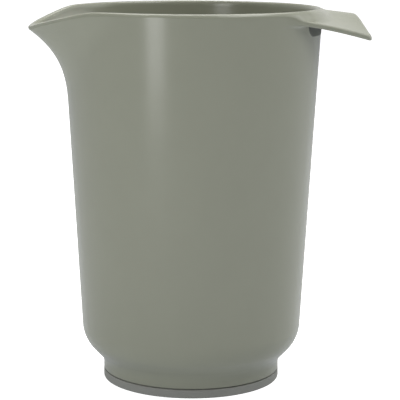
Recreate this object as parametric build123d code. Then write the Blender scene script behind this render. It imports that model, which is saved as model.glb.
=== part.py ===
from build123d import *
import math
import os

# A jug-shaped mixing bowl. One moulded shell carries the wall, spout and handle,
# a rubber ring is pushed onto a skirt under its foot, and a rubber grip pad lies
# in a pocket of the wall under the handle. Z is up and the origin is the centre
# of the resting plane. The handle points along +X, the spout along -X.

# Shell
rim_height = 178.0           # resting plane to the top of the rim
rim_radius = 61.1            # outside of the wall, carried up to the rim plane
shoulder_radius = 52.2       # outside of the wall cone where it meets the shoulder slope
shoulder_height = 20.2       # height of that meeting point
shoulder_slope = 43.5        # degrees between the shoulder slope and the axis
shoulder_round = 22.0        # blend from the wall into the shoulder
neck_radius = 42.3           # outside of the short neck above the base ring
neck_round = 7.2             # blend from the shoulder into the neck
wall = 3.0                   # wall thickness
floor_top = 9.6              # inside of the floor
lip_round = 1.6              # outer rounding of the rim

# Spout
spout_reach = 79.1           # axis to the tip of the spout
spout_start = 51.0           # the spout begins to leave the wall this far below the rim
spout_drop = 9.2             # the tip lies this far below the rim plane
spout_power = 3.5            # how late the spout swells on its way up
spout_knee = 53.9            # the level rim and the slope to the tip meet this far out
spout_bend = 30.0            # radius between the level rim and the slope
tip_rounding = 0.05          # rounding of the keel at the tip, radians of azimuth
keel_rounding = 0.22         # rounding of the keel where the spout begins

# Handle
handle_reach = 80.3          # axis to the handle's end edge
handle_half_width = 27.0     # half of the end edge
handle_root = 57.0           # degrees from +X at which the handle's edge meets the wall
handle_thickness = 2.5
handle_overlap = 2.1         # the handle reaches this far into the wall
handle_root_drop = 2.0       # the handle's edge below the rim plane where it meets the wall
handle_crest_drop = 3.9      # middle of the end edge below the rim plane
handle_corner_drop = 12.9    # corners of the end edge below the rim plane
handle_edge_power = 1.42     # how late the side edges droop on the way to the corner
handle_end_power = 1.1       # how late the end edge droops on the way to the corner
handle_sections = 6          # sections along each side and along each half of the end edge

# Foot and base ring
seam_height = 4.6            # top of the base ring and lower end of the neck
recess_height = 6.6          # underside of the floor
ring_radius = 42.3
ring_bore = 35.5             # radius of the hole through the ring
ring_round = 0.8             # outer lower edge of the ring
ring_seam_round = 0.4        # outer upper edge, at the seam
ring_sole = 1.5              # rubber under the foot skirt
skirt_outer = 40.0
skirt_inner = 37.6
ring_clearance = 0.05        # between the skirt's sides and the ring's channel

# Grip pad
pad_half_width = 40.0
pad_top_drop = 5.9           # upper edge below the rim plane
pad_bottom_drop = 12.1       # lower edge below the rim plane
pad_thickness = 1.2
pad_corner = 6.0             # rounding of its two lower corners
pad_clearance = 0.05

# Sampling of the wall's horizontal sections
section_points = 64
section_crowding = 1.6       # gathers the points towards the spout
level_step = 2.6             # about this far apart, and always evenly spaced
trim_margin = 4.0            # the wall is made this much too high, then trimmed
least_spread = 1e-6          # radians; a spout narrower than this is no spout yet
probe = 0.4                  # where along an edge its place is read
near_share = 0.1             # share of the wall; an edge this close to a surface is on it

taper = (rim_radius - shoulder_radius) / (rim_height - shoulder_height)
spout_base = rim_height - spout_start
tip_height = rim_height - spout_drop
wall_top = rim_height + trim_margin


def cone_radius(z):
    """Outside radius of the plain wall cone at height z."""
    return shoulder_radius + taper * (z - shoulder_height)


def profile_radius(z, inset):
    """Radius of the wall at height z, inset by a normal distance: cone, shoulder, neck."""
    steep = math.radians(shoulder_slope)
    lean = math.atan(taper)
    neck = neck_radius - inset
    cone_at_shoulder = shoulder_radius - inset / math.cos(lean)
    slope_at_shoulder = shoulder_radius - inset / math.cos(steep)
    lift = (slope_at_shoulder - cone_at_shoulder) / (math.tan(lean) - math.tan(steep))
    corner_z = shoulder_height + lift
    corner_r = cone_at_shoulder + taper * lift
    foot_z = corner_z - (corner_r - neck) / math.tan(steep)
    upper = shoulder_round - inset
    lower = neck_round + inset
    reach = upper * math.tan(0.5 * (steep - lean))
    upper_z = corner_z + reach * math.cos(lean) + upper * math.sin(lean)
    upper_r = corner_r + reach * math.sin(lean) - upper * math.cos(lean)
    lower_z = foot_z - lower * math.tan(0.5 * steep)
    if z >= corner_z + reach * math.cos(lean):
        return corner_r + taper * (z - corner_z)
    if z >= corner_z - reach * math.cos(steep):
        return upper_r + math.sqrt(upper**2 - (z - upper_z) ** 2)
    if z >= foot_z + (foot_z - lower_z) * math.cos(steep):
        return neck + math.tan(steep) * (z - foot_z)
    if z >= lower_z:
        return neck + lower - math.sqrt(lower**2 - (z - lower_z) ** 2)
    return neck


def keel_reach(z):
    """Distance of the spout's keel from the axis: it leaves the cone by a power law."""
    share = max(0.0, (z - spout_base) / (tip_height - spout_base))
    swell = spout_reach - cone_radius(tip_height)
    if share <= 1.0:
        return cone_radius(z) + swell * share**spout_power
    return cone_radius(z) + swell * (1.0 + spout_power * (share - 1.0))


def section_stretch(azimuth, z):
    """How far the wall stands out at an azimuth from -X, as a multiple of its radius."""
    share = min(1.0, max(0.0, (z - spout_base) / (tip_height - spout_base)))
    rounding = keel_rounding + (tip_rounding - keel_rounding) * share
    spread = math.acos(min(1.0, cone_radius(z) / keel_reach(z)))
    if spread < least_spread:
        return 1.0
    turn = spread + rounding - math.hypot(azimuth, rounding)
    return 1.0 / math.cos(max(0.0, turn))


def wall_section(z, inset):
    """One closed horizontal section of the wall: tangents run from the keel to a circle."""
    radius = profile_radius(z, inset)
    shares = [2.0 * i / section_points - 1.0 for i in range(section_points)]
    azimuths = [math.copysign(abs(s) ** section_crowding, s) * math.pi for s in shares]
    points = []
    for azimuth in azimuths:
        r = radius * section_stretch(azimuth, z)
        points.append((-r * math.cos(azimuth), r * math.sin(azimuth), z))
    knots = [(a + math.pi) / (2.0 * math.pi) for a in azimuths] + [1.0]
    return Wire([Edge.make_spline(points, periodic=True, parameters=knots)])


def wall_loft(inset, base):
    """The wall with its spout as one solid, from height base to above the rim."""
    count = round((wall_top - base) / level_step)
    step = (wall_top - base) / count
    return Solid.make_loft([wall_section(base + step * i, inset) for i in range(count + 1)])


def trim_tool():
    """Everything above the rim: level over the bowl, sloping down to the spout's tip."""
    fall = spout_drop / (spout_reach - spout_knee)
    far = 2.0 * spout_reach
    ceiling = wall_top + trim_margin
    outer = (-far, rim_height - fall * (far - spout_knee))
    with BuildPart() as tool:
        with BuildSketch(Plane.XZ):
            with BuildLine():
                rim = FilletPolyline(
                    (far, rim_height), (-spout_knee, rim_height), outer, radius=spout_bend
                )
                Polyline(rim @ 1, (-far, ceiling), (far, ceiling), rim @ 0)
            make_face()
        extrude(amount=far, both=True)
    return tool.part


def handle_section(x, y, drop):
    """Upright four-sided section from inside the wall out to an edge point of the handle."""
    inner = rim_radius - handle_overlap
    turn = math.atan2(y, x)
    inner_x = inner * math.cos(turn)
    inner_y = inner * math.sin(turn)
    return Wire.make_polygon(
        [
            (inner_x, inner_y, rim_height),
            (x, y, rim_height - drop),
            (x, y, rim_height - drop - handle_thickness),
            (inner_x, inner_y, rim_height - handle_thickness),
        ]
    )


def handle_solid():
    """The handle: a drooping roof, in a middle part and two sides that share a section."""
    root_x = rim_radius * math.cos(math.radians(handle_root))
    root_y = rim_radius * math.sin(math.radians(handle_root))
    steps = handle_sections
    end = []
    for i in range(-steps, steps + 1):
        share = abs(i) / steps
        fall = (handle_corner_drop - handle_crest_drop) * share**handle_end_power
        y = handle_half_width * i / steps
        end.append(handle_section(handle_reach, y, handle_crest_drop + fall))
    parts = [Solid.make_loft(end)]
    for side in (-1.0, 1.0):
        flank = []
        for i in range(-1, steps + 1):
            share = i / steps
            x = root_x + (handle_reach - root_x) * share
            y = root_y + (handle_half_width - root_y) * share
            fall = (handle_corner_drop - handle_root_drop) * max(0.0, share) ** handle_edge_power
            flank.append(handle_section(x, side * y, handle_root_drop + fall))
        parts.append(Solid.make_loft(flank))
    return parts[0].fuse(parts[1]).fuse(parts[2])


def tube(outer, inner, low, high):
    """A plain upright ring."""
    ring = Cylinder(outer, high - low, align=(Align.CENTER, Align.CENTER, Align.MIN))
    ring -= Cylinder(inner, high - low, align=(Align.CENTER, Align.CENTER, Align.MIN))
    return Pos(0, 0, low) * ring


def pad_blank(proud, gap):
    """The wall's outer skin inside the grip pad's outline, grown by gap all round."""
    low = rim_height - pad_bottom_drop - gap
    high = rim_height - pad_top_drop + gap
    half = pad_half_width + gap
    plane = Plane((0, 0, low))
    low_radius = cone_radius(low)
    high_radius = cone_radius(high)
    skin = Solid.make_cone(low_radius + proud, high_radius + proud, high - low, plane)
    core = Solid.make_cone(
        low_radius - pad_thickness, high_radius - pad_thickness, high - low, plane
    )
    with BuildPart() as outline:
        with BuildSketch(Plane.YZ):
            with BuildLine():
                lower = FilletPolyline(
                    (-half, high), (-half, low), (half, low), (half, high),
                    radius=pad_corner + gap,
                )
                Line(lower @ 1, lower @ 0)
            make_face()
        extrude(amount=2.0 * rim_radius)
    return skin.cut(core).intersect(outline.part).solids()[0]


def rim_edges(shell, inset):
    """The rim's edges that lie on the wall's outer (0) or inner (wall) surface."""
    found = []
    for edge in shell.edges():
        point = edge @ probe
        azimuth = math.atan2(point.Y, -point.X)
        reach = math.hypot(point.X, point.Y) / section_stretch(azimuth, point.Z)
        on_surface = abs(reach - profile_radius(point.Z, inset)) < near_share * wall
        if on_surface and point.Z > tip_height - wall and edge.geom_type == GeomType.BSPLINE:
            found.append(edge)
    return found


def bowl_body():
    """The moulded shell: wall, spout, floor, foot skirt and handle."""
    shell = wall_loft(0.0, seam_height).cut(trim_tool()).cut(wall_loft(wall, floor_top))
    shell = shell.fillet(lip_round, rim_edges(shell, 0.0))
    shell = shell.fuse(handle_solid())
    shell = shell.fuse(tube(skirt_outer, skirt_inner, ring_sole, seam_height))
    recess = Cylinder(skirt_inner, recess_height, align=(Align.CENTER, Align.CENTER, Align.MIN))
    return shell.cut(recess).cut(pad_blank(wall, pad_clearance))


def base_ring():
    """The rubber ring: a sole with a channel that takes the foot skirt."""
    outline = [
        (ring_bore, 0.0), (ring_radius, 0.0), (ring_radius, seam_height),
        (ring_bore, seam_height),
    ]
    with BuildPart() as ring:
        with BuildSketch(Plane.XZ) as section:
            with BuildLine():
                Polyline(*outline, close=True)
            make_face()
            fillet(section.vertices().sort_by(Axis.X)[-2:].sort_by(Axis.Y)[0], ring_round)
            fillet(section.vertices().sort_by(Axis.X)[-2:].sort_by(Axis.Y)[-1], ring_seam_round)
        revolve(axis=Axis.Z)
    channel = tube(
        skirt_outer + ring_clearance, skirt_inner - ring_clearance, ring_sole, seam_height
    )
    return ring.part - channel


os.makedirs("parts", exist_ok=True)
export_step(bowl_body(), "parts/bowl_body.step")
export_step(base_ring(), "parts/base_ring.step")
export_step(pad_blank(0.0, 0.0), "parts/grip_pad.step")
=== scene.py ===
import math

import bpy
import numpy as np
from mathutils import Matrix, Vector


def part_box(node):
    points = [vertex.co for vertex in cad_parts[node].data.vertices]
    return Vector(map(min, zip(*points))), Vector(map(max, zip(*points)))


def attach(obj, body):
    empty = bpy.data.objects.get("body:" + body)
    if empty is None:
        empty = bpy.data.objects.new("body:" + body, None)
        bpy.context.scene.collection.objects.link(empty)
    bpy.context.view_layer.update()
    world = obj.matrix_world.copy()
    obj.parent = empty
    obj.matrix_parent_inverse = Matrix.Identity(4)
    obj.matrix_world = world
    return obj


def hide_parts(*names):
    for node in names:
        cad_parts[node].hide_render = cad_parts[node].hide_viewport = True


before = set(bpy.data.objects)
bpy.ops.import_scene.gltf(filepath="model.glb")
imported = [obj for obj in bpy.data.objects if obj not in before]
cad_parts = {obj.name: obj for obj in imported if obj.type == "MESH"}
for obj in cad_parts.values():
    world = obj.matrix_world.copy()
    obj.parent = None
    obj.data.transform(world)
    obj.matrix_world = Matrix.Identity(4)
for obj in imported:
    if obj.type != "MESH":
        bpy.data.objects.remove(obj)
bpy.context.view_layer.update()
print("frame loaded:", ", ".join(sorted(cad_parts)))

# Shapes are worked out in millimetres and put into the meshes in metres.
millimetre = 0.001
shellLow, shellHigh = [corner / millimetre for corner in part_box("bowl_body")]
ringLow, ringHigh = [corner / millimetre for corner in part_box("base_ring")]
padLow, padHigh = [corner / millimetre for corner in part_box("grip_pad")]

shell = {
    "columns": 340,
    "rimHeight": shellHigh.z,
    "rimRadius": 61.05,
    "shoulderRadius": 52.15,
    "shoulderHeight": 20.2,
    "shoulderSlope": math.radians(43.5),
    "shoulderRound": 17.0,
    "neckRadius": ringHigh.x - 0.02,
    "neckRound": 7.2,
    "wall": 3.0,
    "floorTop": 9.6,
    "floorRound": 4.0,  # height over which the inside corner is rounded
    "seamHeight": ringHigh.z,
    "seamRound": 0.5,
    "recessHeight": 6.6,
    "skirtInner": 37.6,
    "skirtOuter": 40.0,
    "skirtLow": shellLow.z,
    "lipDepth": 2.8,  # how far the rim's outer rounding reaches down
    "lipWidth": 2.0,  # and inwards
    "lipInner": 1.5,  # width of its inner rounding
    "lipInnerDepth": 3.1,
    "lipShrink": 0.55,  # share of the lip's rounding lost on the way to the spout's tip
    "shrinkStart": 46.0,  # distance towards the spout where that loss begins
    "shrinkSpan": 28.0,
    "footSoft": 0.3,  # softening of the skirt's and the recess's edges
    "seamSoft": 0.2,
    "recessSoft": 0.6,
}
spout = {
    "reach": 77.9,
    "start": 51.0,  # it begins to leave the wall this far below the rim
    "drop": 9.0,
    "power": 3.3,
    "knee": 53.9,
    "bend": 4.0,
    "fall": 0.34,  # slope of the rim towards the tip
    "nose": 70.0,  # beyond this the slope grows
    "noseFall": 0.014,
    "tipRounding": 0.05,
    "keelRounding": 0.22,
}
handle = {
    "reach": shellHigh.x - 0.05,
    "halfWidth": 27.0,
    "corner": 4.4,
    "crestDrop": 3.7,  # middle of the end edge below the rim
    "crestSlope": 0.13,  # slope of the ridge
    "crestRound": 0.14,  # rounding of the ridge, as a share of the half width
    "crestBend": 5.0,  # softness of the bend where the level rim turns into the ridge
    "cornerDrop": 12.9,
    "edgePower": 1.42,  # how late the side edges droop on the way to the corner
    "blend": 6.0,  # width over which the rim turns into the handle's top
    "leastBlend": 0.5,
    "edgeGrowth": 2.5,  # the edge leaves the wall over this much of the handle's width
    "topGrowth": 3.5,  # and the top gives up the lip's shape over this much
    "endBefore": 0.04,  # radians beyond the corner where the end's rounding starts
    "endSpan": 0.1,
    "underDip": 0.6,  # how much lower the plain lip's underside ends than the edge
    "thickness": 2.4,
    "crease": 0.9,  # rounding between the top and the side's edge face
    "endCrease": 2.2,  # and along the end edge
    "underCrease": 0.8,
    "rootFillet": 1.6,
}
ring = {
    "bore": 35.5,
    "radius": ringHigh.x,
    "height": ringHigh.z,
    "soleRound": 0.8,
    "seamRound": 0.3,
    "groove": 0.45,  # height of the shadow line left open at the seam
    "grooveDepth": 1.6,
    "channelOuter": 40.05,
    "channelInner": 37.55,
    "sole": 1.5,
    "soft": 0.3,  # rounding of the bore and of the channel's mouth
    "columns": 360,
}
pad = {
    "low": padLow.z,
    "high": padHigh.z,
    "halfWidth": 40.0,
    "corner": 6.0,
    "thickness": 1.2,
    "proud": 0.12,
    "edge": 0.35,
    "sunk": 0.02,  # its outline lies this far under the wall's face
    "columns": 81,
    "rows": 29,
}
counts = {
    # points along each stretch of the shell's section, from the floor to the underside
    "floor": 14,
    "floorCorner": 10,
    "innerWall": 40,
    "innerLip": 6,
    "lipFlat": 2,
    "top": 18,
    "crease": 5,
    "edgeFace": 3,
    "underCrease": 4,
    "underside": 7,
    "rootFillet": 6,
    "outerWall": 42,
    "neckArc": 12,
    "shoulderArc": 20,
    "cone": 18,
    "recess": 12,
}
spacing = {
    # the mesh's columns: one unit of weight is this much length, or this much turning
    "length": 1.4,
    "turning": math.radians(3.0),
    "samples": 20001,
}
rimPasses = 60  # averaging passes that settle the rim's radius and height
bezierPull = 0.39  # handle length of the lip's curve, as a share of its chord

taper = (shell["rimRadius"] - shell["shoulderRadius"]) / (shell["rimHeight"] - shell["shoulderHeight"])
lean = math.atan(taper)
spoutBase = shell["rimHeight"] - spout["start"]
tipHeight = shell["rimHeight"] - spout["drop"]


def coneRadius(z):
    """Outside radius of the plain wall cone at height z."""
    return shell["shoulderRadius"] + taper * (z - shell["shoulderHeight"])


def stretch(azimuth, z):
    """How far the wall stands out at an azimuth from -X, as a multiple of its radius. The
    keel leaves the cone by a power of the height, and tangents run from it to the circle."""
    share = np.maximum((z - spoutBase) / (tipHeight - spoutBase), 0.0)
    swell = spout["reach"] - coneRadius(tipHeight)
    beyond = 1.0 + spout["power"] * (share - 1.0)
    keel = coneRadius(z) + swell * np.where(share <= 1.0, share ** spout["power"], beyond)
    inside = np.minimum(share, 1.0)
    rounding = spout["keelRounding"] + (spout["tipRounding"] - spout["keelRounding"]) * inside
    spread = np.arccos(np.minimum(1.0, coneRadius(z) / keel))
    turn = spread + rounding - np.hypot(azimuth, rounding)
    return 1.0 / np.cos(np.maximum(0.0, turn))


def wallRadius(azimuth, z, inset=0.0):
    """Radius of the upper wall, spout included, inset by a distance."""
    return (coneRadius(z) - inset) * stretch(azimuth, z)


def smooth(x):
    """The cubic step 3x^2 - 2x^3 between 0 and 1."""
    x = np.clip(x, 0.0, 1.0)
    return x * x * (3.0 - 2.0 * x)


def rimDrop(x):
    """The rim is level over the bowl and slopes down to the spout's tip past a soft knee."""
    beyond = -x - spout["knee"]
    slope = 0.5 * spout["fall"] * (beyond + np.hypot(beyond, spout["bend"]))
    nose = np.maximum(-x - spout["nose"], 0.0)
    return slope + spout["noseFall"] * nose**2


def rimPoint(azimuth, inset, below):
    """Radius and height of the rim over the inset wall, a little below the rim surface.
    Each depends on the other, so they are found by repeated averaging."""
    z = np.full_like(azimuth, shell["rimHeight"])
    for _ in range(rimPasses):
        r = wallRadius(azimuth, z - below, inset)
        drop = np.maximum(rimDrop(-r * np.cos(azimuth)), 0.0)
        z = 0.5 * (z + shell["rimHeight"] - drop)
    return r, z - below


def handleOutline(theta):
    """Radius of the handle's plan outline at an angle from +X, and the angle where its side
    leaves the wall: a circle, its tangent, a rounded corner and a straight end edge."""
    radius = shell["rimRadius"]
    reach = handle["reach"]
    half = handle["halfWidth"]
    corner = handle["corner"]
    leaving = math.acos(radius / math.hypot(reach, half)) + math.atan2(half, reach)
    centreX = reach - corner
    centreY = (radius - corner - centreX * math.cos(leaving)) / math.sin(leaving)
    a = np.abs(theta)
    along = centreX * np.cos(a) + centreY * np.sin(a)
    across = centreX**2 + centreY**2 - along**2
    rounded = along + np.sqrt(np.maximum(0.0, corner**2 - across))
    endAngle = math.atan2(centreY, reach)
    sideX = centreX + corner * math.cos(leaving)
    sideY = centreY + corner * math.sin(leaving)
    side = radius / np.cos(np.maximum(0.0, leaving - a))
    end = reach / np.cos(np.minimum(a, 1.0))
    outline = np.where(a < endAngle, end, np.where(a < math.atan2(sideY, sideX), rounded, side))
    return outline, leaving


def roofDrop(x, y, leaving):
    """Drop of the handle's top below the rim: across the handle it runs from the ridge down
    to the side edge, ridge + (side - ridge) * g, where g is the rounded share of the width."""
    radius = shell["rimRadius"]
    ridgeStart = handle["reach"] - handle["crestDrop"] / handle["crestSlope"]
    beyond = x - ridgeStart
    ridge = 0.5 * handle["crestSlope"] * (beyond + np.hypot(beyond, handle["crestBend"]))
    rootX = radius * math.cos(leaving)
    share = np.clip((x - rootX) / (handle["reach"] - rootX), 0.0, 1.0)
    fall = handle["cornerDrop"] - shell["lipDepth"]
    side = shell["lipDepth"] + fall * share ** handle["edgePower"]
    width = (radius - x * math.cos(leaving)) / math.sin(leaving)
    across = np.abs(y) / width
    soft = handle["crestRound"]
    g = (np.hypot(across, soft) - soft) / (math.hypot(1.0, soft) - soft)
    return ridge + (side - ridge) * g


def columnAngles(count):
    """Angles of the mesh's columns from +X, evenly spread over the length of the plan
    outline plus its turning, so that the tip and the handle's corners get more of them."""
    theta = np.linspace(-math.pi, math.pi, spacing["samples"])
    level = np.full_like(theta, tipHeight)
    wall = wallRadius(math.pi - np.abs(theta), level)
    radius = np.maximum(handleOutline(theta)[0], wall)
    x = radius * np.cos(theta)
    y = radius * np.sin(theta)
    dx = np.gradient(x)
    dy = np.gradient(y)
    turning = np.abs(np.gradient(np.unwrap(np.arctan2(dy, dx))))
    weight = np.hypot(dx, dy) / spacing["length"] + turning / spacing["turning"]
    total = np.concatenate([[0.0], np.cumsum(0.5 * (weight[1:] + weight[:-1]))])
    return np.interp(np.linspace(0.0, total[-1], count + 1)[:-1], total, theta)


def lowerProfile(inset):
    """The wall's profile below the spout from the seam up, as arrays of radius and height:
    an arc out of the neck, an arc into the cone, and the cone."""
    steep = shell["shoulderSlope"]
    neck = shell["neckRadius"] - inset
    coneAt = shell["shoulderRadius"] - inset
    slopeAt = shell["shoulderRadius"] - inset / math.cos(steep)
    lift = (slopeAt - coneAt) / (math.tan(lean) - math.tan(steep))
    cornerZ = shell["shoulderHeight"] + lift
    cornerR = coneAt + taper * lift
    footZ = cornerZ - (cornerR - neck) / math.tan(steep)
    upper = shell["shoulderRound"] - inset
    lower = shell["neckRound"] + inset
    reach = upper * math.tan(0.5 * (steep - lean))
    upperZ = cornerZ + reach * math.cos(lean) + upper * math.sin(lean)
    upperR = cornerR + reach * math.sin(lean) - upper * math.cos(lean)
    lowerZ = footZ - lower * math.tan(0.5 * steep)
    out = np.linspace(0.0, steep, counts["neckArc"])
    up = np.linspace(steep, lean, counts["shoulderArc"])
    arcR = np.concatenate([neck + lower * (1.0 - np.cos(out)), upperR + upper * np.cos(up)])
    arcZ = np.concatenate([lowerZ + lower * np.sin(out), upperZ - upper * np.sin(up)])
    coneZ = np.linspace(arcZ[-1] + 4.0, spoutBase, counts["cone"])
    coneR = coneAt + taper * (coneZ - shell["shoulderHeight"])
    return np.concatenate([arcR, coneR]), np.concatenate([arcZ, coneZ])


def spot(r, z, count):
    """The same kind of point, radius and height, for every column."""
    return np.stack([np.broadcast_to(r, count), np.broadcast_to(z, count)], axis=1).astype(float)


def curve(controls, count):
    """Points along a Bezier curve after its start: the controls weighted by the Bernstein
    terms C(n,k) t^k (1-t)^(n-k) at even steps of t."""
    t = np.linspace(0.0, 1.0, count + 1)[1:]
    degree = len(controls) - 1
    total = 0.0
    for k, control in enumerate(controls):
        weight = math.comb(degree, k) * t**k * (1.0 - t) ** (degree - k)
        total = total + control[:, None, :] * weight[None, :, None]
    return total


def upright(azimuth, low, high, count, inset):
    """Rows on the wall between two heights given per column, after the first."""
    share = np.linspace(0.0, 1.0, count + 1)[1:]
    z = low[:, None] + (high - low)[:, None] * share
    return np.stack([wallRadius(azimuth[:, None], z, inset), z], axis=2)


def innerRows(azimuth, count):
    """The inside, from the middle of the floor through its rounded corner up to the rim."""
    r, z = lowerProfile(shell["wall"])
    endZ = shell["floorTop"] + shell["floorRound"]
    endR = np.interp(endZ, z, r)
    slope = (np.interp(endZ + 0.2, z, r) - endR) / 0.2
    cornerR = endR - slope * shell["floorRound"]
    startR = cornerR - math.hypot(endR - cornerR, shell["floorRound"])
    flat = np.linspace(0.0, startR, counts["floor"])
    floor = np.stack([flat, np.full_like(flat, shell["floorTop"])], axis=1)
    bend = curve(
        [
            spot(startR, shell["floorTop"], count),
            spot(cornerR, shell["floorTop"], count),
            spot(endR, endZ, count),
        ],
        counts["floorCorner"],
    )
    above = z > endZ + 0.3
    wall = np.stack([r[above], z[above]], axis=1)
    rimR, rimZ = rimPoint(azimuth, shell["wall"], shell["lipInnerDepth"])
    rise = upright(azimuth, np.full(count, spoutBase), rimZ, counts["innerWall"], shell["wall"])
    rows = [floor[None].repeat(count, 0), bend, wall[None].repeat(count, 0), rise]
    return rows, rimR, rimZ


def footRows(count):
    """The seam's edge, the skirt that the ring grips, the recess and the underside."""
    neck = shell["neckRadius"]
    seam = shell["seamHeight"]
    edge = shell["seamRound"]
    outer = shell["skirtOuter"]
    inner = shell["skirtInner"]
    low = shell["skirtLow"]
    top = shell["recessHeight"]
    soft = shell["footSoft"]
    small = shell["seamSoft"]
    wide = shell["recessSoft"]
    points = [
        (neck, seam + edge),
        (neck - 0.1 * edge, seam + 0.5 * edge),
        (neck - 0.4 * edge, seam + 0.12 * edge),
        (neck - edge, seam),
        (outer + small, seam),
        (outer, seam - small),
        (outer, low + soft),
        (outer - soft / 3.0, low + soft / 3.0),
        (outer - soft, low),
        (inner + soft, low),
        (inner + soft / 3.0, low + soft / 3.0),
        (inner, low + soft),
        (inner, top - wide),
        (inner - 0.28 * wide, top - 0.28 * wide),
        (inner - wide, top),
    ]
    points += [(r, top) for r in np.linspace(inner - 5.0 * wide, 0.0, counts["recess"])]
    return np.array(points)[None].repeat(count, 0)


def shellRows(angles):
    """The shell's section in every half-plane through Z as one chain of points: floor,
    inner wall, rim, the handle or the plain lip, outer wall, foot and underside."""
    n = len(angles)
    azimuth = math.pi - np.abs(angles)
    side = np.abs(angles)
    rows, innerR, innerZ = innerRows(azimuth, n)

    # Over the rim to the start of its outer rounding.
    towardTip = smooth((innerR * np.cos(azimuth) - shell["shrinkStart"]) / shell["shrinkSpan"])
    size = 1.0 - shell["lipShrink"] * towardTip
    topR = innerR + shell["lipInner"] * stretch(azimuth, innerZ)
    topZ = shell["rimHeight"] - np.maximum(rimDrop(-topR * np.cos(azimuth)), 0.0)
    inside = [spot(innerR, innerZ, n), spot(innerR, topZ, n), spot(topR, topZ, n)]
    rows.append(curve(inside, counts["innerLip"]))
    outR, outZ = rimPoint(azimuth, 0.0, 0.0)
    startR = outR - shell["lipWidth"] * size * stretch(azimuth, outZ)
    startZ = shell["rimHeight"] - np.maximum(rimDrop(-startR * np.cos(azimuth)), 0.0)
    rows.append(curve([spot(topR, topZ, n), spot(startR, startZ, n)], counts["lipFlat"]))

    # The edge: along the lip it lies on the wall, along the handle on the handle's outline.
    outline, leaving = handleOutline(angles)
    extent = np.maximum(outline - shell["rimRadius"], 0.0)
    away = smooth(extent / handle["edgeGrowth"])
    cornerAngle = math.atan2(handle["halfWidth"], handle["reach"])
    drop = roofDrop(outline * np.cos(angles), outline * np.sin(angles), leaving)
    lipZ = shell["rimHeight"] - np.maximum(rimDrop(-outR * np.cos(azimuth)), 0.0)
    lipZ = lipZ - shell["lipDepth"] * size
    onHandle = extent > 0.0
    edgeZ = np.where(onHandle, shell["rimHeight"] - drop, lipZ)
    lipR = wallRadius(azimuth, edgeZ)
    edgeR = np.where(onHandle, outline + (lipR - shell["rimRadius"]) * (1.0 - away), lipR)

    # The lip rounds over to the wall; the handle's top follows its roof out to the crease.
    wallSlope = np.arctan2(0.5, wallRadius(azimuth, edgeZ - 0.5) - lipR)
    settled = smooth(extent / handle["topGrowth"])
    atEnd = smooth((cornerAngle + handle["endBefore"] - side) / handle["endSpan"])
    crease = handle["crease"] + (handle["endCrease"] - handle["crease"]) * atEnd
    pull = bezierPull * np.hypot(edgeR - startR, startZ - edgeZ)
    lipEnd = spot(edgeR - crease * np.cos(wallSlope), edgeZ + crease * np.sin(wallSlope), n)
    first = spot(startR + pull, startZ, n)
    second = spot(edgeR - pull * np.cos(wallSlope), edgeZ + pull * np.sin(wallSlope), n)
    lip = curve([spot(startR, startZ, n), first, second, lipEnd], counts["top"])
    share = np.linspace(0.0, 1.0, counts["top"] + 1)[1:]
    roofR = startR[:, None] + (edgeR - crease - startR)[:, None] * share
    roofX = roofR * np.cos(angles)[:, None]
    roofY = roofR * np.sin(angles)[:, None]
    span = np.clip(edgeR - crease - startR, handle["leastBlend"], handle["blend"])
    turned = smooth((roofR - startR[:, None]) / span[:, None])
    roofZ = startZ[:, None] - roofDrop(roofX, roofY, leaving) * turned
    roof = np.stack([roofR, roofZ], axis=2)
    top = lip + (roof - lip) * settled[:, None, None]
    before = top[:, -1]
    rows.append(top)

    # Rounded crease, upright edge face and the crease under it.
    lowZ = edgeZ - handle["thickness"]
    wallAtLow = wallRadius(azimuth, lowZ)
    lowR = np.where(onHandle, outline + (wallAtLow - shell["rimRadius"]) * (1.0 - away), wallAtLow)
    edge = spot(edgeR, edgeZ, n)
    low = spot(lowR, lowZ, n)
    after = edge + (low - edge) * (crease / handle["thickness"])[:, None]
    beforeLow = low + (edge - low) * (handle["underCrease"] / handle["thickness"])
    rows.append(curve([before, edge, after], counts["crease"]))
    rows.append(curve([after, beforeLow], counts["edgeFace"]))

    # The underside back to the wall, ending in a fillet.
    fillet = handle["rootFillet"]
    slope = (lowZ - (startZ - handle["thickness"])) / np.maximum(lowR - startR, 1.0)
    reach = np.minimum(fillet, 0.7 * extent)
    dip = handle["underDip"]
    rootZ = lowZ - dip + (slope * (shell["rimRadius"] + reach - lowR) + dip) * away
    rootR = wallRadius(azimuth, rootZ) + reach
    root = spot(rootR, rootZ, n)
    length = np.maximum(np.hypot(rootR - lowR, rootZ - lowZ), 0.1)
    afterLow = low + (root - low) * np.minimum(handle["underCrease"] / length, 0.5)[:, None]
    rows.append(curve([beforeLow, low, afterLow], counts["underCrease"]))
    rows.append(curve([afterLow, root], counts["underside"]))
    endZ = rootZ - fillet
    kneeZ = rootZ - 0.5 * fillet * (1.0 - away)
    knee = spot(wallRadius(azimuth, kneeZ), kneeZ, n)
    end = spot(wallRadius(azimuth, endZ), endZ, n)
    rows.append(curve([root, knee, end], counts["rootFillet"]))

    # The outer wall, the shoulder, the neck and the foot.
    rows.append(upright(azimuth, endZ, np.full(n, spoutBase), counts["outerWall"], 0.0))
    r, z = lowerProfile(0.0)
    rows.append(np.stack([r[::-1][1:], z[::-1][1:]], axis=1)[None].repeat(n, 0))
    rows.append(footRows(n))
    return np.concatenate(rows, axis=1)


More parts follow.
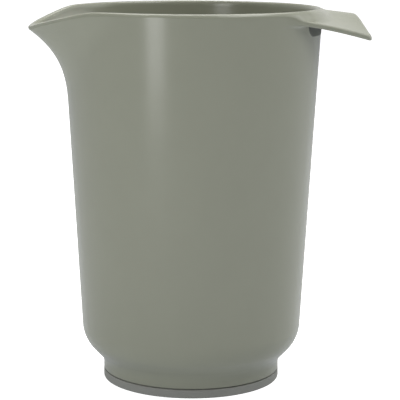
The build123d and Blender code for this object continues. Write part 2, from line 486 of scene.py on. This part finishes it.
def addPiece(name, points, faces, slotName, *nodes):
    """A smooth-shaded mesh piece that rides with the object in place of the CAD nodes."""
    mesh = bpy.data.meshes.new(name)
    mesh.from_pydata((points * millimetre).tolist(), [], faces)
    mesh.polygons.foreach_set("use_smooth", np.ones(len(mesh.polygons), bool))
    mesh.update()
    piece = bpy.data.objects.new(name, mesh)
    bpy.context.scene.collection.objects.link(piece)
    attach(piece, "root")
    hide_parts(*nodes)
    print(name, "has", len(mesh.vertices), "vertices and", len(mesh.polygons), "faces")
    return piece


def makeShell():
    """The moulded shell: every column's chain of points turned to its angle, closed by a
    pole in the middle of the floor and one in the middle of the underside."""
    angles = columnAngles(shell["columns"])
    rows = shellRows(angles)
    columns, points, _ = rows.shape
    middle = rows[:, 1:-1]
    x = middle[..., 0] * np.cos(angles)[:, None]
    y = middle[..., 0] * np.sin(angles)[:, None]
    surface = np.stack([x, y, middle[..., 1]], axis=2).reshape(-1, 3)
    poles = np.array([[0.0, 0.0, rows[0, 0, 1]], [0.0, 0.0, rows[0, -1, 1]]])
    inner = points - 2
    i = np.arange(columns)[:, None]
    j = np.arange(inner - 1)[None, :]
    here = i * inner + j
    beside = (i + 1) % columns * inner + j
    quads = np.stack([here, here + 1, beside + 1, beside], axis=2).reshape(-1, 4)
    k = np.arange(columns)
    after = (k + 1) % columns
    top = np.stack([np.full(columns, len(surface)), k * inner, after * inner], axis=1)
    last = inner - 1
    bottom = np.stack(
        [np.full(columns, len(surface) + 1), after * inner + last, k * inner + last], axis=1
    )
    faces = quads.tolist() + top.tolist() + bottom.tolist()
    return addPiece(
        "moulded_shell", np.concatenate([surface, poles]), faces, "shell_plastic", "bowl_body"
    )


def cornerArc(centreR, centreZ, radius, start, end, count):
    """Points of an arc in the section plane between two angles in degrees."""
    a = np.radians(np.linspace(start, end, count))
    return np.stack([centreR + radius * np.cos(a), centreZ + radius * np.sin(a)], axis=1)


def makeRing():
    """The rubber ring: a closed section with a channel for the skirt, carried round Z."""
    sole = ring["soleRound"]
    seam = ring["seamRound"]
    radius = ring["radius"]
    height = ring["height"]
    lower = height - ring["groove"]
    bore = ring["bore"]
    small = ring["soft"]
    section = np.concatenate([
        np.stack([np.linspace(bore + small, radius - sole, 6), np.zeros(6)], axis=1),
        cornerArc(radius - sole, sole, sole, -90.0, 0.0, 8)[1:],
        cornerArc(radius - seam, lower - seam, seam, 0.0, 90.0, 7),
        [(radius - ring["grooveDepth"], lower), (radius - ring["grooveDepth"], height)],
        [(ring["channelOuter"] + small, height), (ring["channelOuter"], height - small)],
        [(ring["channelOuter"], ring["sole"]), (ring["channelInner"], ring["sole"])],
        [(ring["channelInner"], height - small), (ring["channelInner"] - small, height)],
        cornerArc(bore + small, height - small, small, 90.0, 180.0, 4),
        cornerArc(bore + small, small, small, 180.0, 270.0, 4)[:-1],
    ])
    columns = ring["columns"]
    angles = np.linspace(0.0, 2.0 * math.pi, columns, endpoint=False)
    x = np.cos(angles)[:, None] * section[None, :, 0]
    y = np.sin(angles)[:, None] * section[None, :, 0]
    z = np.broadcast_to(section[None, :, 1], x.shape)
    count = len(section)
    i = np.arange(columns)[:, None]
    j = np.arange(count)[None, :]
    here = i * count
    beside = (i + 1) % columns * count
    up = (j + 1) % count
    quads = np.stack([here + j, beside + j, beside + up, here + up], axis=2).reshape(-1, 4)
    points = np.stack([x, y, z], axis=2).reshape(-1, 3)
    return addPiece("foot_ring", points, quads.tolist(), "ring_rubber", "base_ring")


def makePad():
    """The grip pad: a grid bent round the wall, narrower towards its rounded lower corners,
    with a rolled edge, closed at the back inside the wall."""
    across = np.linspace(-1.0, 1.0, pad["columns"])
    upward = np.linspace(0.0, 1.0, pad["rows"])
    height = pad["high"] - pad["low"]
    z = pad["low"] + height * upward
    under = np.maximum(0.0, pad["corner"] - (z - pad["low"]))
    half = pad["halfWidth"] - pad["corner"] + np.sqrt(pad["corner"] ** 2 - under**2)
    y = across[:, None] * half[None, :]
    zGrid = np.broadcast_to(z[None, :], y.shape)
    toSide = half[None, :] - np.abs(y)
    toEnd = np.minimum(zGrid - pad["low"], pad["high"] - zGrid)
    inward = np.clip(np.minimum(toSide, toEnd) / pad["edge"], 0.0, 1.0)
    lift = pad["proud"] * np.sqrt(1.0 - (1.0 - inward) ** 2)
    radius = coneRadius(zGrid) + lift - pad["sunk"]
    front = np.stack([np.sqrt(radius**2 - y**2), y, zGrid], axis=2)
    depth = coneRadius(zGrid) - pad["thickness"]
    back = np.stack([np.sqrt(depth**2 - y**2), y, zGrid], axis=2)
    wide, high = y.shape
    frontIndex = np.arange(wide * high).reshape(wide, high)
    backIndex = frontIndex + wide * high

    def patch(index):
        """The quads of one index grid."""
        return np.stack(
            [index[:-1, :-1], index[1:, :-1], index[1:, 1:], index[:-1, 1:]], axis=2
        ).reshape(-1, 4)

    loop = np.concatenate([
        np.stack([np.arange(wide - 1), np.zeros(wide - 1, int)], axis=1),
        np.stack([np.full(high - 1, wide - 1), np.arange(high - 1)], axis=1),
        np.stack([np.arange(wide - 1, 0, -1), np.full(wide - 1, high - 1)], axis=1),
        np.stack([np.zeros(high - 1, int), np.arange(high - 1, 0, -1)], axis=1),
    ])
    outer = frontIndex[loop[:, 0], loop[:, 1]]
    inner = backIndex[loop[:, 0], loop[:, 1]]
    sides = np.stack([outer, inner, np.roll(inner, -1), np.roll(outer, -1)], axis=1)
    faces = patch(frontIndex).tolist() + patch(backIndex)[:, ::-1].tolist() + sides.tolist()
    points = np.concatenate([front.reshape(-1, 3), back.reshape(-1, 3)])
    # the pad's colour is partly its rubber and partly painted shade from under the handle
    return addPiece("grip_inlay", points, faces, "pad_rubber", "grip_pad")


# Materials

colours = {
    "shell": (0.335, 0.345, 0.268, 1.0),
    "ring": (0.335, 0.338, 0.307, 1.0),
    # painted shade: the pad's colour is dark rubber with the shade under the handle painted into it
    "pad": (0.106, 0.114, 0.097, 1.0),
}
grain = {
    # noise scales, in cycles per metre
    "fine": 2600.0,
    "broad": 60.0,
    "specks": 900.0,
    "speckRange": (0.70, 0.80),  # noise level where a speck begins and is full
    "speckLift": 0.06,
}


def newGroup(name, inputs, outputs):
    """An empty shader node group with its sockets; returns it with its two end nodes."""
    group = bpy.data.node_groups.new(name, "ShaderNodeTree")
    for socketName, kind, value in inputs:
        socket = group.interface.new_socket(socketName, in_out="INPUT", socket_type=kind)
        if value is not None:
            socket.default_value = value
    for socketName, kind in outputs:
        group.interface.new_socket(socketName, in_out="OUTPUT", socket_type=kind)
    return group, group.nodes.new("NodeGroupInput"), group.nodes.new("NodeGroupOutput")


def noiseNode(tree, scale, detail, rough):
    node = tree.nodes.new("ShaderNodeTexNoise")
    node.inputs["Scale"].default_value = scale
    node.inputs["Detail"].default_value = detail
    node.inputs["Roughness"].default_value = rough
    return node


def mathNode(tree, operation, first, second):
    """A math node; each operand is a socket to link or a number."""
    node = tree.nodes.new("ShaderNodeMath")
    node.operation = operation
    for k, operand in enumerate([first, second]):
        if isinstance(operand, (int, float)):
            node.inputs[k].default_value = operand
        else:
            tree.links.new(operand, node.inputs[k])
    return node.outputs["Value"]


def mapRange(tree, value, low, high, toLow, toHigh):
    node = tree.nodes.new("ShaderNodeMapRange")
    node.interpolation_type = "SMOOTHSTEP"
    tree.links.new(value, node.inputs["Value"])
    for name, number in [
        ("From Min", low), ("From Max", high), ("To Min", toLow), ("To Max", toHigh)
    ]:
        node.inputs[name].default_value = number
    return node.outputs["Result"]


def makeGrainGroup():
    """Mould grain: fine noise for the bump, broad noise for a mottle of colour and gloss,
    and a sparse speck mask. Height, Mottle and Specks are all about 0 to 1."""
    group, source, result = newGroup(
        "mouldGrain",
        [("Vector", "NodeSocketVector", None), ("Fineness", "NodeSocketFloat", 1.0)],
        [("Height", "NodeSocketFloat"), ("Mottle", "NodeSocketFloat"), ("Specks", "NodeSocketFloat")],
    )
    links = group.links
    scaled = group.nodes.new("ShaderNodeVectorMath")
    scaled.operation = "SCALE"
    links.new(source.outputs["Vector"], scaled.inputs["Vector"])
    links.new(source.outputs["Fineness"], scaled.inputs["Scale"])
    fine = noiseNode(group, grain["fine"], 3.0, 0.6)
    links.new(scaled.outputs["Vector"], fine.inputs["Vector"])
    broad = noiseNode(group, grain["broad"], 3.0, 0.55)
    links.new(source.outputs["Vector"], broad.inputs["Vector"])
    specks = noiseNode(group, grain["specks"], 2.0, 0.5)
    links.new(source.outputs["Vector"], specks.inputs["Vector"])
    links.new(fine.outputs["Fac"], result.inputs["Height"])
    links.new(broad.outputs["Fac"], result.inputs["Mottle"])
    low, high = grain["speckRange"]
    mask = mapRange(group, specks.outputs["Fac"], low, high, 0.0, 1.0)
    links.new(mask, result.inputs["Specks"])
    return group


def makeTintGroup():
    """Colour variation: the base colour made a little lighter or darker by the mottle and
    lightened at the specks. Output = base * (1 + amount * (mottle - 0.5)) + specks."""
    group, source, result = newGroup(
        "softTint",
        [
            ("Base", "NodeSocketColor", (0.5, 0.5, 0.5, 1.0)),
            ("Mottle", "NodeSocketFloat", 0.5),
            ("Specks", "NodeSocketFloat", 0.0),
            ("Amount", "NodeSocketFloat", 0.1),
        ],
        [("Colour", "NodeSocketColor")],
    )
    shift = mathNode(group, "SUBTRACT", source.outputs["Mottle"], 0.5)
    shift = mathNode(group, "MULTIPLY", shift, source.outputs["Amount"])
    lightness = mathNode(group, "ADD", shift, 1.0)
    speckled = mathNode(group, "MULTIPLY_ADD", source.outputs["Specks"], grain["speckLift"])
    group.links.new(lightness, speckled.node.inputs[2])
    tint = group.nodes.new("ShaderNodeVectorMath")
    tint.operation = "SCALE"
    group.links.new(source.outputs["Base"], tint.inputs["Vector"])
    group.links.new(speckled, tint.inputs["Scale"])
    group.links.new(tint.outputs["Vector"], result.inputs["Colour"])
    return group


def newMaterial(name):
    material = bpy.data.materials.new(name)
    material.use_nodes = True
    return material, material.node_tree, material.node_tree.nodes["Principled BSDF"]


def grainedMaterial(name, colour, look):
    """A moulded surface: tinted base colour, roughness that follows the mottle and a fine
    bump, all in object coordinates."""
    material, tree, shader = newMaterial(name)
    coordinates = tree.nodes.new("ShaderNodeTexCoord")
    moulded = tree.nodes.new("ShaderNodeGroup")
    moulded.node_tree = grainGroup
    moulded.inputs["Fineness"].default_value = look["fineness"]
    tree.links.new(coordinates.outputs["Object"], moulded.inputs["Vector"])
    tint = tree.nodes.new("ShaderNodeGroup")
    tint.node_tree = tintGroup
    tint.inputs["Base"].default_value = colour
    tint.inputs["Amount"].default_value = look["variation"]
    tree.links.new(moulded.outputs["Mottle"], tint.inputs["Mottle"])
    tree.links.new(moulded.outputs["Specks"], tint.inputs["Specks"])
    tree.links.new(tint.outputs["Colour"], shader.inputs["Base Color"])
    spread = 0.5 * look["roughnessSpread"]
    rough = mapRange(
        tree, moulded.outputs["Mottle"], 0.3, 0.7,
        look["roughness"] - spread, look["roughness"] + spread,
    )
    tree.links.new(rough, shader.inputs["Roughness"])
    bump = tree.nodes.new("ShaderNodeBump")
    bump.inputs["Strength"].default_value = look["bump"]
    bump.inputs["Distance"].default_value = look["bumpDepth"]
    tree.links.new(moulded.outputs["Height"], bump.inputs["Height"])
    tree.links.new(bump.outputs["Normal"], shader.inputs["Normal"])
    shader.inputs["IOR"].default_value = look["ior"]
    return material


looks = {
    "shell": {
        "fineness": 1.0, "variation": 0.05, "roughness": 0.22, "roughnessSpread": 0.04,
        "bump": 0.05, "bumpDepth": 0.00004, "ior": 1.5,
    },
    "ring": {
        "fineness": 1.4, "variation": 0.12, "roughness": 0.72, "roughnessSpread": 0.1,
        "bump": 0.25, "bumpDepth": 0.00008, "ior": 1.5,
    },
    "pad": {
        "fineness": 1.2, "variation": 0.12, "roughness": 0.68, "roughnessSpread": 0.1,
        "bump": 0.25, "bumpDepth": 0.00008, "ior": 1.5,
    },
}

shellPiece = makeShell()
ringPiece = makeRing()
padPiece = makePad()
print("pieces made")

grainGroup = makeGrainGroup()
tintGroup = makeTintGroup()
# the pad's finish carries painted shade: the shade under the handle is painted into its dark colour
for piece, part in [(shellPiece, "shell"), (ringPiece, "ring"), (padPiece, "pad")]:
    piece.data.materials.append(grainedMaterial(part + "Finish", colours[part], looks[part]))
print("materials made")

# Stage: a pale floor, studio light and the camera.

stage = {
    "floorSize": 12.0,
    "floorDrop": 0.0001,  # keeps the floor clear of the ring's sole
    "backdropSeen": 1.0,
    "backdrop": 0.72,  # brightness behind the object as it lights the object
    "room": 0.08,  # brightness on the camera's side
    "depthRange": (-0.25, 0.45),  # between the two, as the Y part of the direction
    "heightRange": (0.25, 0.85),  # and the Z part over which it dims upwards
    "zenith": 0.35,  # share of it left overhead
    "floorSeen": 0.95,  # the floor as the camera sees it
    "floorBounce": 0.45,  # and as it lights the object
    "bounceTint": (0.91, 0.97, 1.1, 1.0),  # cast of the light from below
    "glowSeen": 0.93,
    "glowBounce": 0.25,
}
lamps = {
    # name: (place, aim, width, height, power)
    "overhead": ((0.15, 0.4, 1.3), (0.0, 0.0, 0.15), 1.3, 1.0, 15.0),
    "frontTop": ((0.6, -0.4, 1.15), (0.0, 0.0, 0.15), 0.9, 0.5, 5.0),
    "strip": ((-0.44, -0.49, 0.22), (0.0, 0.0, 0.22), 0.17, 0.4, 0.95),
    "rimStrip": ((-0.54, -0.52, 0.56), (0.0, 0.0, 0.17), 0.14, 0.4, 0.5),
    "leftFill": ((-1.5, -0.1, 0.6), (0.0, 0.0, 0.1), 0.9, 1.2, 0.4),
    "rightFill": ((1.4, 0.15, 0.55), (0.0, 0.0, 0.12), 0.8, 1.0, 3.0),
}
camera = {
    "azimuth": math.radians(-11.0),
    "distance": 0.7527,
    "height": 0.2192,
    "tilt": math.radians(10.04),
    "roll": math.radians(0.22),
    "lens": 143.59,
    "shift": 0.021,
}


def castLight(tree, seen):
    """White for the camera, the studio's cast for every other ray."""
    mix = tree.nodes.new("ShaderNodeMix")
    mix.data_type = "RGBA"
    tree.links.new(seen, mix.inputs["Factor"])
    mix.inputs["A"].default_value = stage["bounceTint"]
    mix.inputs["B"].default_value = (1.0, 1.0, 1.0, 1.0)
    return mix.outputs["Result"]


def makeFloor():
    """A big square floor just under the ring, brighter for the camera than as a light."""
    half = 0.5 * stage["floorSize"]
    level = -stage["floorDrop"]
    corners = [
        (-half, -half, level), (half, -half, level), (half, half, level), (-half, half, level)
    ]
    mesh = bpy.data.meshes.new("stage_floor")
    mesh.from_pydata(corners, [], [(0, 1, 2, 3)])
    floor = bpy.data.objects.new("stage_floor", mesh)
    bpy.context.scene.collection.objects.link(floor)
    material, tree, shader = newMaterial("floorFinish")
    paths = tree.nodes.new("ShaderNodeLightPath")
    seen = paths.outputs["Is Camera Ray"]
    shade = mathNode(tree, "MULTIPLY_ADD", seen, stage["floorSeen"] - stage["floorBounce"])
    shade.node.inputs[2].default_value = stage["floorBounce"]
    tree.links.new(shade, shader.inputs["Base Color"])
    glow = mathNode(tree, "MULTIPLY_ADD", seen, stage["glowSeen"] - stage["glowBounce"])
    glow.node.inputs[2].default_value = stage["glowBounce"]
    tree.links.new(glow, shader.inputs["Emission Strength"])
    tree.links.new(castLight(tree, seen), shader.inputs["Emission Color"])
    shader.inputs["Roughness"].default_value = 0.9
    shader.inputs["Specular IOR Level"].default_value = 0.1
    mesh.materials.append(material)


def makeWorld():
    """White behind the object for the camera, a dimmer even light for everything else."""
    world = bpy.data.worlds.new("studio")
    world.use_nodes = True
    bpy.context.scene.world = world
    tree = world.node_tree
    background = tree.nodes["Background"]
    coordinates = tree.nodes.new("ShaderNodeTexCoord")
    direction = tree.nodes.new("ShaderNodeSeparateXYZ")
    tree.links.new(coordinates.outputs["Generated"], direction.inputs["Vector"])
    near, far = stage["depthRange"]
    behind = mapRange(tree, direction.outputs["Y"], near, far, stage["room"], stage["backdrop"])
    low, high = stage["heightRange"]
    above = mapRange(tree, direction.outputs["Z"], low, high, 1.0, stage["zenith"])
    light = mathNode(tree, "MULTIPLY", behind, above)
    seen = tree.nodes.new("ShaderNodeLightPath").outputs["Is Camera Ray"]
    shown = mathNode(tree, "MULTIPLY", seen, stage["backdropSeen"])
    strength = mathNode(tree, "MAXIMUM", light, shown)
    tree.links.new(strength, background.inputs["Strength"])
    background.inputs["Color"].default_value = (1.0, 1.0, 1.0, 1.0)


def makeLamp(name, place, aim, width, height, power):
    """A rectangular area light turned to face a point."""
    data = bpy.data.lights.new(name, "AREA")
    data.shape = "RECTANGLE"
    data.size = width
    data.size_y = height
    data.energy = power
    lamp = bpy.data.objects.new(name, data)
    lamp.location = place
    lamp.rotation_mode = "QUATERNION"
    toward = Vector(aim) - Vector(place)
    lamp.rotation_quaternion = toward.to_track_quat("-Z", "Y")
    bpy.context.scene.collection.objects.link(lamp)


def makeCamera():
    """A long lens in front of the object, slightly to the spout's side and above the rim."""
    data = bpy.data.cameras.new("camera")
    data.lens = camera["lens"]
    data.shift_x = camera["shift"]
    eye = bpy.data.objects.new("camera", data)
    around = camera["azimuth"]
    eye.matrix_world = (
        Matrix.Translation((
            camera["distance"] * math.sin(around),
            -camera["distance"] * math.cos(around),
            camera["height"],
        ))
        @ Matrix.Rotation(around, 4, "Z")
        @ Matrix.Rotation(math.pi / 2.0 - camera["tilt"], 4, "X")
        @ Matrix.Rotation(camera["roll"], 4, "Z")
    )
    bpy.context.scene.collection.objects.link(eye)
    bpy.context.scene.camera = eye


makeFloor()
makeWorld()
for name, lamp in lamps.items():
    makeLamp(name, *lamp)
makeCamera()
bpy.context.scene.view_settings.view_transform = "Standard"
print("stage made")
